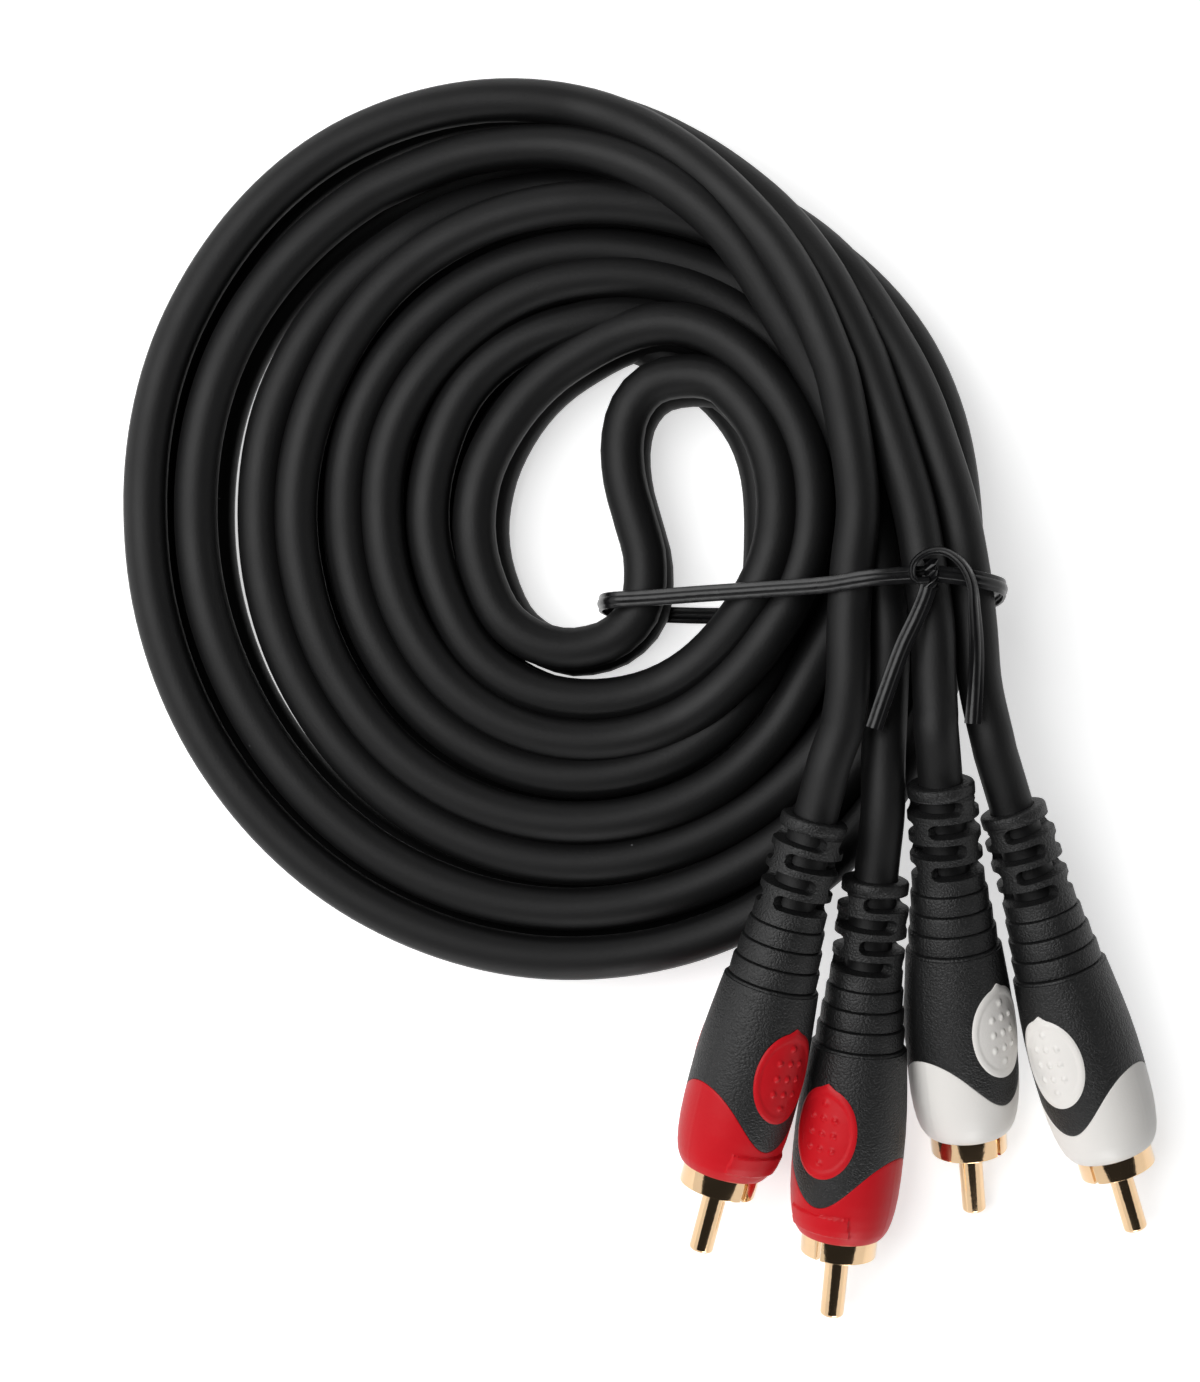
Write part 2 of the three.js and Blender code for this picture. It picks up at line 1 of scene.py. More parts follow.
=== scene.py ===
"""A coiled twin audio cable with four phono plugs and a twist tie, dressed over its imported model.

Sizes in the tables are millimetres in the part's frame. A plug is made along its own y, from the tail
of its boot at y = 0, with its first grip pad towards its own z.
"""
import math

import bmesh
import bpy
from mathutils import Matrix, Vector


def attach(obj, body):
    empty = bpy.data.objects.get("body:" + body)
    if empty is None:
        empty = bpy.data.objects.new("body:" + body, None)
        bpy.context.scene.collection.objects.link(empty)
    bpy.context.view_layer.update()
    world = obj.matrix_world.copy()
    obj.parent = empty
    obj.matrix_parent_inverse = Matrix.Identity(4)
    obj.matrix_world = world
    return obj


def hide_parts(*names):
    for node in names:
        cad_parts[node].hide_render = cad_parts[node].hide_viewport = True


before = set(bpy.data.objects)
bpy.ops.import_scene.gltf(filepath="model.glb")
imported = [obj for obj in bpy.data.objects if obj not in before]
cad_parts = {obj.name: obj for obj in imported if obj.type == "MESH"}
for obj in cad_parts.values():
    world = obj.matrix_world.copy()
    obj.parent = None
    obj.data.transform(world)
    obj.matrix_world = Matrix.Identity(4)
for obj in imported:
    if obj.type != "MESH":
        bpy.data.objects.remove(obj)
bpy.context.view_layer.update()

bl_info = {
    "name": "Coiled audio cable",
    "version": (1, 0, 0),
    "blender": (4, 5, 0),
    "location": "View3D > Sidebar > Audio cable",
    "description": "Makes a coiled twin audio cable with red and white phono plugs and a twist tie",
    "category": "Add Mesh",
}

MM = 0.001

# Floor: its half section as radius and height, its grey, and its glow by the distance in metres
FLOOR_OUTLINE = [(2200, 0), (2500, 45), (2750, 180), (2900, 420), (3000, 800), (3000, 1500)]
FLOOR_COLUMNS = 64
FLOOR_GREY = 0.85
FLOOR_GLOW = [(0.25, 0.62), (0.8, 1.0)]

# Lamps, aimed at the origin: place and size in metres
LAMPS = {"key": ((-0.45, 0.12, 0.72), 0.75), "fill": ((0.1, -0.44, 0.1), 0.17)}

# Camera: straight down, as far off as the photograph's perspective asks
CAMERA_POINT = (-4.67, -22.8, 450.0)
FOCUS_HEIGHT = 7.0
FRAME_HEIGHT = 184.3
SENSOR = 36.0

# Cable: where the pair stands upright, its upper conductor lies LEAN in x and y off the lower one
CONDUCTOR = 5.8
PAIR_SPACING = 5.9
LEAN = (-1.0, 0.7)
COIL_CENTRE = (-8.5, -1.3)
TURN_STEP = 30
FINE_STEP = 3
CORD_STEP = 2.0
CORD_ROUNDING = 5

# Radius of the pair's middle at every 30 degrees of the photograph's turns, clockwise from the S-bend out
HALF_A_START = 60
HALF_A_RADII = [
    27.0, 28.0, 27.0, 25.0, 24.0, 22.5, 21.0, 19.0, 19.0, 20.5, 24.0, 27.0, 29.0, 30.0, 29.0, 29.8, 32.0,
    32.0, 30.5, 29.0, 29.0, 31.0, 33.5, 36.0, 38.0, 42.0, 43.8, 43.1, 43.5, 43.5, 42.0, 40.5, 40.5, 42.0,
    42.5, 43.0, 46.3, 48.5, 48.5, 50.5, 55.5, 56.3, 55.8, 55.5, 56.5, 58.5, 59.5, 56.5, 48.5, 42.0]
HALF_B_START = 270
HALF_B_RADII = [
    16.0, 15.0, 13.0, 12.5, 13.5, 16.5, 22.5, 31.0, 32.5, 31.5, 29.5, 29.0, 28.0, 26.5, 25.0, 25.0, 27.0,
    29.5, 33.0, 36.0, 37.0, 38.0, 36.7, 38.4, 38.4, 37.5, 36.1, 36.5, 38.0, 41.0, 43.0, 45.0, 49.0, 50.5,
    49.5, 49.7, 49.9, 49.3, 48.7, 49.4, 51.0, 51.4]
# Degrees from the start, rise of the pair over the floor, and its tilt from upright towards the outside
HALF_A_LIE = [
    (0, 1.6, 0), (15, 2.6, 0), (30, 4.8, 0), (45, 5.8, 0), (75, 5.6, 0), (90, 4.0, 0), (105, 1.8, 0),
    (120, 0.3, 0), (135, 0, 0), (165, 0, 5), (195, 0, 5), (225, 0, 0), (330, 0, 0), (345, 0, 20),
    (360, 0, 45), (375, 0, 80), (390, 0, 90), (420, 0, 90), (435, 0, 60), (450, 0, 35), (465, 0, 22),
    (480, 0, 18), (720, 0, 18), (750, 0, 10), (780, 0, 14), (810, 0, 18), (840, 0, 18), (990, 0, 18),
    (1020, 0, 40), (1040, 0, 75), (1055, 0.1, 88), (1080, 0.4, 90), (1095, 1.4, 92), (1110, 4.6, 92),
    (1125, 7.4, 92), (1140, 8.8, 92), (1155, 8.0, 90), (1170, 5.0, 75), (1185, 2.0, 45), (1200, 0.3, 15),
    (1215, 0, 14), (1260, 0, 14), (1290, 0, 10), (1320, 0, 0), (1380, 0, 0), (1395, 0.3, -4),
    (1410, 1.0, -9), (1425, 4.0, -18), (1440, 8.0, -32), (1455, 11.8, -42), (1470, 13.6, -50)]
HALF_B_LIE = [
    (0, 0, 0), (45, 0, 8), (120, 0, 8), (165, 0, 0), (180, 0.2, 0), (195, 0.8, 0), (210, 2.2, 0),
    (225, 4.0, 0), (240, 5.4, 0), (255, 5.8, 0), (285, 5.8, 0), (300, 5.2, 0), (315, 3.0, 0), (330, 1.2, 0),
    (345, 0.6, 0), (360, 0.5, 0), (585, 0.5, 0), (600, 0, 0), (645, 0, 1), (660, 0.5, 2), (672, 0.5, 12),
    (700, 0.5, 12), (735, 0.5, 11), (780, 0.5, 8), (800, 0.6, 0), (870, 1.0, 0), (885, 1.6, 0),
    (900, 2.2, 0), (915, 2.2, 0), (930, 1.4, 0), (945, 0.6, 0), (960, 0, 0), (1035, 0, 0), (1060, 0, 9),
    (1080, 0, 12), (1110, 0, 14), (1130, 0, 10), (1145, 0, 8), (1190, 0, 8), (1215, 0, 10), (1230, 0, 12)]
# The S-bend's upper conductor between the two halves, from half B to half A: x, y and rise
S_BEND = [(-3.3, -16.0, 0), (0.6, -12.0, 0), (1.3, -5.4, 0), (0.0, -0.1, 0), (-1.4, 5.2, 0),
          (-1.7, 10.5, 0), (-0.6, 14.8, 0.4), (2.2, 17.9, 1.0), (7.2, 18.9, 1.8)]
# Points of half A that the S-bend takes the place of
BEND_OVERLAP = 5
# Leads from where the pairs part to the tails of their plugs
LEADS = {
    "end_a_red": [(28.7, 1.9, 20.4), (27.9, -7.0, 20.2), (27.5, -14.3, 19.9), (27.3, -22.0, 21.2),
                  (26.2, -28.4, 22.9)],
    "end_a_white": [(35.8, 2.0, 19.4), (37.4, -7.0, 19.9), (38.4, -14.3, 20.0), (38.5, -21.0, 20.6),
                    (38.7, -26.0, 21.1)],
    "end_b_red": [(-21.9, 48.5, 9.1), (-8.5, 49.1, 10.4), (2.6, 45.2, 13.0), (12.0, 37.4, 15.0),
                  (19.3, 26.3, 15.4), (24.8, 16.6, 14.9), (29.1, 6.1, 15.0), (31.7, -5.6, 15.3),
                  (32.9, -14.3, 15.6), (32.6, -24.0, 17.0), (32.1, -32.0, 18.6)],
    "end_b_white": [(-21.4, 46.9, 2.9), (-8.5, 49.4, 2.9), (4.6, 47.3, 3.4), (16.6, 41.9, 5.5),
                    (26.8, 33.9, 9.3), (34.4, 21.8, 13.4), (37.3, 15.3, 15.5), (39.4, 9.0, 16.6),
                    (41.6, 1.5, 17.4), (43.4, -8.0, 17.6), (44.2, -14.3, 17.4), (44.8, -22.0, 17.8),
                    (46.3, -29.0, 18.3)],
}
# Places along a plug's axis that its lead ends on, straight into the boot
LEAD_END = (-9.0, -3.0, 0.1)
# The web between the conductors, and how many points on either side its other edge is looked for
WEB_THICKNESS = 1.3
WEB_HALF_HEIGHT = 1.05
WEB_STEP = 3.0
WEB_SEARCH = 25

# Plugs: the tail's middle, then heading off -Y, fall and roll in degrees
PLUGS = {
    "end_a_red": ((23.1, -39.1, 21.5), -14.1, 10.5, 41),
    "end_b_red": ((31.3, -47.2, 17.04), -4.8, 11.2, -35),
    "end_a_white": ((39.5, -34.6, 19.23), 6.1, 15.4, 43),
    "end_b_white": ((49.1, -38.1, 16.5), 17.6, 10.5, -47),
}
BODY_LENGTH = 48.7
COLUMNS = 176
# Half outline of the plug's body, as place along it and radius, with grooves between its ribs
TAIL_OUTLINE = [(0.0, 4.05), (0.12, 4.28), (0.35, 4.40), (1.3, 4.40), (1.5, 4.3), (1.62, 4.38), (1.85, 4.66),
                (14.1, 4.8)]
RIB_PLACES = (14.3, 16.95, 19.6, 22.25)
RIB_RADII = (4.78, 5.1, 5.45, 5.8, 6.15)
GROOVE_WIDTH = 0.15
GROOVE_DEPTH = 0.2
GROOVE_LIP = 0.04
RIB_ROUNDING = (0.1, 0.4)
BARREL_OUTLINE = [(22.7, 6.32), (25.2, 6.6), (28.2, 6.92), (31.2, 7.18), (34.2, 7.33), (37.2, 7.36),
                  (40.2, 7.33), (42.7, 7.22), (44.7, 7.0), (46.3, 6.7), (47.4, 6.36), (48.1, 5.98),
                  (48.55, 5.65), (48.7, 5.42)]
BARREL_RINGS = 30
NOSE_RINGS = 36
NOSE_CROWDING = 1.35
# The neck's slots: rows, places, half sizes in mm and degrees, radius of their floor, slope of their wall
SLOT_ROWS = 4
FIRST_SLOT = 2.6
SLOT_PITCH = 2.85
SLOT_HALF_HEIGHT = 0.86
SLOT_HALF_ANGLE = 75
SLOT_FLOOR = 3.02
SLOT_WALL = 0.16
SLOT_RINGS = 12
SLOT_RING_STEP = 0.09
# The boot's bore round the cable, and between which radii a slot's floor shows the cable
BORE = 2.96
CABLE_SHOWS = (BORE + 0.03, SLOT_FLOOR + 0.12)
# The wavy seam between boot and collar, and its lip as shift along and sink below the surface
SEAM_PLACE = 39.75
SEAM_WAVE = 3.5
SEAM_POINT = 0.1
SEAM_EDGE = 0.14
SEAM_LIP = [(0.08, 0.02), (0.13, 0.08), (SEAM_EDGE, 0.2), (SEAM_EDGE, 0.9)]
# The line that the mould leaves: its rise, and its half width as the cosine of the angle
PARTING_RISE = 0.04
PARTING_COSINE = 0.01
# Grip pads: oval, pocket in the boot, and relief by the share of the way out from the pad's middle
PAD_PLACE = 33.3
PAD_HALF = (4.75, 6.2)
PAD_COLUMNS = 84
PAD_RINGS = 40
POCKET_DEPTH = 0.55
POCKET_WALL = (0.93, 0.88)
PAD_FOOT = -0.5
PAD_UNDERSIDE = (1.0, 0.6, 0.02)
PAD_RISE = 0.08
RIM_RISE = 0.1
RIM_INNER_WALL = (0.8, 0.88)
RIM_OUTER_WALL = (1.0, 0.94)
DISH_DEPTH = 0.02
DISH_WALL = (0.84, 0.78)
# The pads' dots, as columns on either side of the middle and place of each row
PAD_ROWS = ((0, -4.1), (1, -2.1), (1, 0.0), (1, 2.1), (0, 4.0))
DOT_SPACING = 1.65
DOT_RADIUS = 0.52
DOT_RISE = 0.26
DOT_WALL = (0.25, 1.0)
# The point at the pad's back end: its length, its half angle in radians and how fast it fades inwards
NUB = 0.5
NUB_HALF_ANGLE = 0.2
NUB_FADE = 6
# The bare name plate
PLATE_CENTRE = 45.9
PLATE_HALF = (4.6, 1.4)
PLATE_RISE = 0.3
PLATE_WALL = (0.08, -0.08)

# Inside the plug, from the front of its sleeve back
TURNED_COLUMNS = 64
SLEEVE_COLUMNS = 96
AXIS_RADIUS = 1e-4
SLEEVE_FRONT = BODY_LENGTH + 2.8
SLEEVE_RADIUS = 5.1
SLEEVE_BORE = 4.15
INSULATOR_FACE = SLEEVE_FRONT - 9.2
SLEEVE_BACK = INSULATOR_FACE - 3.5
SLEEVE_FLOOR = SLEEVE_BACK + 0.8
HUB_HOLE = 2.9
# The sleeve's rounded front edge: distance behind its front and radius
SLEEVE_LIP = [(0.18, SLEEVE_RADIUS), (0.04, SLEEVE_RADIUS - 0.04), (0.0, SLEEVE_RADIUS - 0.14),
              (0.0, SLEEVE_BORE + 0.15), (0.14, SLEEVE_BORE)]
SLIT_LENGTH = 5.0
SLIT_HALF_ANGLE = 3.6
# The crimp and its strap: ends, radii, and the angles across the strap in radians
CRIMP = (30.1, 33.6)
CRIMP_RADII = (3.2, 3.8)
STRAP_RADII = (3.25, 3.75)
STRAP_ANGLES = (-0.32, -0.16, 0, 0.16, 0.32)
STRAP_LAP = 0.3
CORE_START = 26.7
CORE_STEP = 36.7
PIN_RADIUS = 1.6
PIN_BACK = 34.4
PIN_COLLAR = (36.8, 37.4, 2.2)
PIN_TIP = SLEEVE_FRONT + 9.0
# The pin's domed tip: distance behind the tip and how much thinner it is
PIN_DOME = [(0.5, 0.0), (0.28, 0.07), (0.12, 0.24), (0.03, 0.5), (0.0, 0.9), (0.0, PIN_RADIUS)]
# Half outlines of the hollow of the boot and of the collar's bore and core
BOOT_HOLLOW = [(CORE_STEP - 0.3, 6.45), (CORE_STEP - 0.6, 5.6), (CORE_START - 0.3, 5.6),
               (CORE_START - 0.4, BORE), (0.0, BORE)]
COLLAR_CORE = [(BODY_LENGTH - 0.1, 5.25), (SLEEVE_BACK - 0.3, 5.25), (SLEEVE_BACK - 0.3, 4.1),
               (CORE_START, 4.1), (CORE_START, 5.3), (CORE_STEP, 5.3), (CORE_STEP + 0.3, 6.1),
               (SEAM_PLACE + 3.0, 6.1)]

# Twist tie: the loop, its tails and the knot, with twists in turns
TIE_STEP = 0.7
TIE_LOOP = [
    (37.4, -7.8, 24.6), (30.0, -8.3, 24.5), (24.6, -9.1, 22.4), (17.0, -9.6, 19.0), (8.4, -10.1, 15.6),
    (0.8, -10.6, 12.9), (-3.2, -10.8, 11.6), (-4.5, -11.0, 6.5), (-4.1, -11.4, 1.8), (-2.0, -12.0, 0.72),
    (8.0, -12.6, 0.72), (24.0, -12.4, 0.72), (41.0, -11.8, 0.72), (46.6, -11.2, 2.0), (47.9, -10.6, 7.0),
    (48.1, -9.9, 15.0), (47.0, -9.2, 21.6), (43.2, -8.4, 24.4), (38.6, -7.8, 24.8)]
TIE_TAIL_LEFT = [(37.6, -8.2, 25.3), (37.0, -10.6, 25.0), (35.8, -13.6, 24.4), (34.2, -17.0, 24.2),
                 (32.3, -22.2, 23.9), (30.5, -27.6, 23.4)]
TIE_TAIL_RIGHT = [(37.2, -8.6, 26.2), (35.5, -8.6, 26.3), (35.2, -6.8, 26.4), (36.6, -5.3, 26.4),
                  (38.9, -4.9, 26.3), (41.2, -6.2, 26.0), (42.7, -8.6, 25.7), (43.2, -12.5, 25.2),
                  (43.6, -17.6, 24.2), (43.5, -22.4, 23.6), (43.2, -27.0, 23.4)]
TAIL_TWIST = 0.25
KNOT = [(37.6, -5.9, 25.2), (37.7, -9.6, 25.2)]
KNOT_TWIST = 1.0
KNOT_SCALE = (0.95, 1.9)
# Half section of the tie, across and thick: a flat strip over a wire
TIE_SECTION = [(1.1, 0.0), (1.05, 0.16), (0.85, 0.24), (0.52, 0.25), (0.36, 0.38), (0.0, 0.46)]

# Edges of a mesh that bend more than this many degrees are sharp
SHARP_ANGLE = 35


# Shader maths
class Wire:
    """A shader socket that Python's arithmetic works on: each step adds a Math node."""

    def __init__(self, finish, socket):
        self.finish = finish
        self.socket = socket

    def math(self, operation, *values):
        return self.finish.node("ShaderNodeMath", {"operation": operation}, dict(enumerate(values)))

    def __add__(self, other):
        return self.math("ADD", self, other)

    __radd__ = __add__

    def __mul__(self, other):
        return self.math("MULTIPLY", self, other)

    __rmul__ = __mul__

    def __rsub__(self, other):
        return self.math("SUBTRACT", other, self)

    def larger(self, other):
        return self.math("MAXIMUM", self, other)


class Finish:
    """A material and its nodes, round one Principled shader."""

    def __init__(self, name, colour, **constants):
        self.material = bpy.data.materials.new(name)
        self.material.use_nodes = True
        self.material.diffuse_color = (*colour, 1)
        self.nodes = self.material.node_tree.nodes
        self.links = self.material.node_tree.links
        self.shader = self.nodes["Principled BSDF"]
        self.set("Base Color", (*colour, 1))
        for socket, value in constants.items():
            self.set(socket.replace("_", " "), value)

    def set(self, socket, value):
        """Puts a constant or a wire on one of the shader's sockets."""
        self.feed(self.shader.inputs[socket], value)

    def feed(self, socket, value):
        if isinstance(value, Wire):
            self.links.new(value.socket, socket)
        else:
            socket.default_value = value

    def node(self, kind, settings, sockets, output=0):
        """Adds a node: its settings, then the values or wires of its sockets by name or number."""
        made = self.nodes.new(kind)
        for key, value in settings.items():
            setattr(made, key, value)
        for socket, value in sockets.items():
            self.feed(made.inputs[socket], value)
        return Wire(self, made.outputs[output])

    def place(self):
        """The object's own coordinates."""
        return self.node("ShaderNodeTexCoord", {}, {}, "Object")

    def noise(self, scale, detail):
        return self.node("ShaderNodeTexNoise", {},
                         {"Vector": self.place(), "Scale": scale, "Detail": detail})

    def cells(self, scale, feature):
        return self.node("ShaderNodeTexVoronoi", {"feature": feature},
                         {"Vector": self.place(), "Scale": scale})

    def ramp(self, value, stops):
        """A grey by a value, straight between two stops."""
        grey = self.node("ShaderNodeValToRGB", {}, {"Fac": value})
        for element, (place, level) in zip(grey.socket.node.color_ramp.elements, stops):
            element.position = place
            element.color = (level, level, level, 1)
        return grey

    def blend(self, share, first, second):
        """A colour between two, by a share. Sockets 0, 6 and 7 are a colour mix's share and colours."""
        return self.node("ShaderNodeMix", {"data_type": "RGBA"},
                         {0: share, 6: (*first, 1), 7: (*second, 1)}, 2)

    def bump(self, height, distance):
        self.set("Normal", self.node("ShaderNodeBump", {},
                                     {"Height": height, "Distance": distance, "Strength": 1.0}))


def shaded(colour, factor):
    return tuple(min(1.0, c * factor) for c in colour)


def moulded_finish(name, colour, roughness, grain_scale, mottling=0.12, **constants):
    """A moulded plastic: even colour with slight mottling, and a fine grain."""
    finish = Finish(name, colour, **constants)
    mottle = finish.noise(90.0, 3.0)
    finish.set("Base Color", finish.blend(mottle, shaded(colour, 1 - mottling), shaded(colour, 1 + mottling)))
    fine = finish.noise(grain_scale, 2.5)
    finish.set("Roughness", roughness - 0.05 + fine * 0.1)
    finish.bump(fine, 0.00002)
    return finish.material


def jacket_finish(colour):
    """Soft black cable jacket: a satin skin with the faintest grain and a few specks of dust."""
    finish = Finish("jacket", colour, Specular_IOR_Level=0.32)
    fine = finish.noise(2600.0, 3.0)
    broad = finish.noise(140.0, 2.0)
    specks = 1.0 - finish.ramp(finish.cells(190.0, "F1"), [(0.018, 0.0), (0.03, 1.0)])
    dusty = finish.ramp(broad, [(0.5, 0.0), (0.56, 0.6)])
    finish.set("Base Color", finish.blend(specks * dusty, colour, (0.16, 0.16, 0.165)))
    finish.set("Roughness", 0.5 + broad * 0.12)
    finish.bump(fine * 0.7 + broad * 0.6, 0.00004)
    return finish.material


def boot_finish(colour):
    """Black moulded boot: a leathery grain of small pits."""
    finish = Finish("boot", colour, Specular_IOR_Level=0.42)
    pits = finish.cells(3600.0, "SMOOTH_F1")
    fine = finish.noise(5200.0, 2.0)
    broad = finish.noise(160.0, 2.0)
    finish.set("Base Color", finish.blend(broad, shaded(colour, 0.8), shaded(colour, 1.25)))
    finish.set("Roughness", 0.4 + pits * 0.25)
    finish.bump(pits + fine * 0.6, 0.0001)
    return finish.material


def gold_finish(colour):
    """Thin gold plate over turned brass: bright, with a little wear from handling."""
    finish = Finish("gold", colour, Metallic=1.0)
    wear = finish.noise(420.0, 4.0)
    finish.set("Base Color", finish.blend(wear, colour, shaded(colour, 0.86)))
    finish.set("Roughness", 0.06 + wear * 0.08)
    finish.bump(finish.noise(1500.0, 2.0), 0.00001)
    return finish.material


def tie_finish(colour):
    """Glossy black strip, drawn over its wire."""
    finish = Finish("tie", colour, Specular_IOR_Level=0.32)
    ripple = finish.noise(700.0, 2.0)
    finish.set("Roughness", 0.22 + ripple * 0.16)
    finish.bump(ripple, 0.00006)
    return finish.material


def floor_finish():
    """White that keeps the shadows and glows to the camera and in reflections."""
    finish = Finish("floor", (FLOOR_GREY,) * 3, Roughness=0.9, Specular_IOR_Level=0.0)
    seen, glossy, through = (finish.node("ShaderNodeLightPath", {}, {}, ray) for ray in
                             ("Is Camera Ray", "Is Glossy Ray", "Is Transmission Ray"))
    away = finish.node("ShaderNodeVectorMath", {"operation": "LENGTH"}, {0: finish.place()}, "Value")
    glow = seen.larger(glossy).larger(through) * finish.ramp(away, FLOOR_GLOW)
    finish.set("Emission Color", finish.node("ShaderNodeCombineColor", {}, {0: glow, 1: glow, 2: glow}))
    finish.set("Emission Strength", 1.0)
    return finish.material


# Geometry
def spline(points, step):
    """A smooth line through points, as evenly spaced points about a step apart."""
    points = [Vector(p) for p in points]
    ends = [2 * points[0] - points[1], *points, 2 * points[-1] - points[-2]]
    dense = []
    for i in range(1, len(ends) - 2):
        before, start, stop, after = ends[i - 1:i + 3]
        times = [0.0]
        for a, b in ((before, start), (start, stop), (stop, after)):
            times.append(times[-1] + max(1e-6, (b - a).length) ** 0.5)
        t0, t1, t2, t3 = times
        parts = max(4, round((stop - start).length / step * 3))
        for k in range(parts):
            t = t1 + (t2 - t1) * k / parts
            a1 = before * ((t1 - t) / (t1 - t0)) + start * ((t - t0) / (t1 - t0))
            a2 = start * ((t2 - t) / (t2 - t1)) + stop * ((t - t1) / (t2 - t1))
            a3 = stop * ((t3 - t) / (t3 - t2)) + after * ((t - t2) / (t3 - t2))
            b1 = a1 * ((t2 - t) / (t2 - t0)) + a2 * ((t - t0) / (t2 - t0))
            b2 = a2 * ((t3 - t) / (t3 - t1)) + a3 * ((t - t1) / (t3 - t1))
            dense.append(b1 * ((t2 - t) / (t2 - t1)) + b2 * ((t - t1) / (t2 - t1)))
    dense.append(points[-1])
    return even(dense, step)


def even(points, step):
    """The same line with its points evenly spaced."""
    runs = [0.0]
    for a, b in zip(points, points[1:]):
        runs.append(runs[-1] + (b - a).length)
    count = max(2, round(runs[-1] / step))
    result, i = [], 0
    for k in range(count + 1):
        goal = runs[-1] * k / count
        while i < len(runs) - 2 and runs[i + 1] < goal:
            i += 1
        span = max(1e-9, runs[i + 1] - runs[i])
        result.append(points[i].lerp(points[i + 1], min(1.0, (goal - runs[i]) / span)))
    return result


def smoothstep(low, high, value):
    share = min(1.0, max(0.0, (value - low) / (high - low)))
    return share * share * (3 - 2 * share)


def between(table, place):
    """Straight interpolation in rows that hold a place and its values."""
    for (low, *first), (high, *second) in zip(table, table[1:]):
        if place <= high:
            share = max(0.0, (place - low) / (high - low))
            return [a + (b - a) * share for a, b in zip(first, second)]
    return list(table[-1][1:])


def radius_at(radii, place):
    """Smooth interpolation between radii that are one turn step apart."""
    i = min(int(place), len(radii) - 2)
    t = place - i
    p0, p1, p2, p3 = (radii[min(max(k, 0), len(radii) - 1)] for k in (i - 1, i, i + 1, i + 2))
    return p1 + 0.5 * t * (p2 - p0 + t * (2 * p0 - 5 * p1 + 4 * p2 - p3 + t * (3 * (p1 - p2) + p3 - p0)))


def half_coil(start, radii, lie):
    """Points of the upper and the lower conductor of one half of the coil, from the S-bend out."""
    upper, lower = [], []
    total = TURN_STEP * (len(radii) - 1)
    for travel in range(0, total + 1, FINE_STEP):
        rise, tilt = between(lie, travel)
        upright, out = math.cos(math.radians(tilt)), math.sin(math.radians(tilt))
        bearing = math.radians(start - travel)
        radial = Vector((math.cos(bearing), math.sin(bearing), 0))
        radius = radius_at(radii, travel / TURN_STEP) + PAIR_SPACING / 2 * out
        resting = rise + CONDUCTOR / 2
        top = Vector((*COIL_CENTRE, resting + PAIR_SPACING * max(0.0, upright))) + radial * radius
        lean = Vector((*LEAN, 0)) * max(0.0, upright) * (1 - abs(out))
        under = top - lean - radial * (PAIR_SPACING * out)
        under.z = resting - PAIR_SPACING * min(0.0, upright)
        upper.append(top)
        lower.append(under)
    return upper, lower


def material_of(obj, material):
    obj.data.materials.clear()
    obj.data.materials.append(material)


def add_mesh(name, points, faces, material):
    """A closed mesh in metres from millimetre points, facing out and smooth but for its sharp edges."""
    mesh = bpy.data.meshes.new(name)
    mesh.from_pydata([tuple(c * MM for c in p) for p in points], [], faces)
    shape = bmesh.new()
    shape.from_mesh(mesh)
    bmesh.ops.remove_doubles(shape, verts=shape.verts, dist=1e-7)
    bmesh.ops.recalc_face_normals(shape, faces=shape.faces)
    sharp = math.radians(SHARP_ANGLE)
    for face in shape.faces:
        face.smooth = True
    for edge in shape.edges:
        edge.smooth = len(edge.link_faces) != 2 or edge.calc_face_angle(0.0) < sharp
    shape.to_mesh(mesh)
    shape.free()
    obj = bpy.data.objects.new(name, mesh)
    bpy.context.scene.collection.objects.link(obj)
    material_of(obj, material)
    return obj


def ringed(rings, closed=True):
    """Points and faces over rings of equal length; closed joins the last ring to the first."""
    count = len(rings[0])
    points = [p for ring in rings for p in ring]
    faces = []
    for k in range(len(rings) if closed else len(rings) - 1):
        low, high = k * count, ((k + 1) % len(rings)) * count
        for i in range(count):
            j = (i + 1) % count
            faces.append((low + i, low + j, high + j, high + i))
    if not closed:
        faces.append(tuple(range(count)))
        faces.append(tuple(range((len(rings) - 1) * count, len(rings) * count))[::-1])
    return points, faces


def sweep(section, route, across, turns):
    """Rings of a section carried along a route, its first axis near a direction, and twisted."""
    rings = []
    for i, point in enumerate(route):
        tangent = (route[min(i + 1, len(route) - 1)] - route[max(i - 1, 0)]).normalized()
        side = (across - tangent * across.dot(tangent)).normalized()
        side = Matrix.Rotation(turns * 2 * math.pi * i / (len(route) - 1), 3, tangent) @ side
        face = tangent.cross(side)
        rings.append([point + side * a + face * b for a, b in section])
    return rings


def move(points, matrix):
    return [matrix @ Vector(p) for p in points]


# Plug pieces, in a plug's own frame
def plug_frame(name):
    """Where a plug's own frame lies in the part's frame."""
    tail, heading, fall, roll = PLUGS[name]
    heading, fall = math.radians(heading), math.radians(fall)
    axis = Vector((math.sin(heading) * math.cos(fall), -math.cos(heading) * math.cos(fall),
                   -math.sin(fall)))
    up = Vector((0, 0, 1))
    up = (up - axis * up.dot(axis)).normalized()
    up = Matrix.Rotation(math.radians(-roll), 3, axis) @ up
    matrix = Matrix((axis.cross(up), axis, up)).transposed().to_4x4()
    matrix.translation = tail
    return matrix


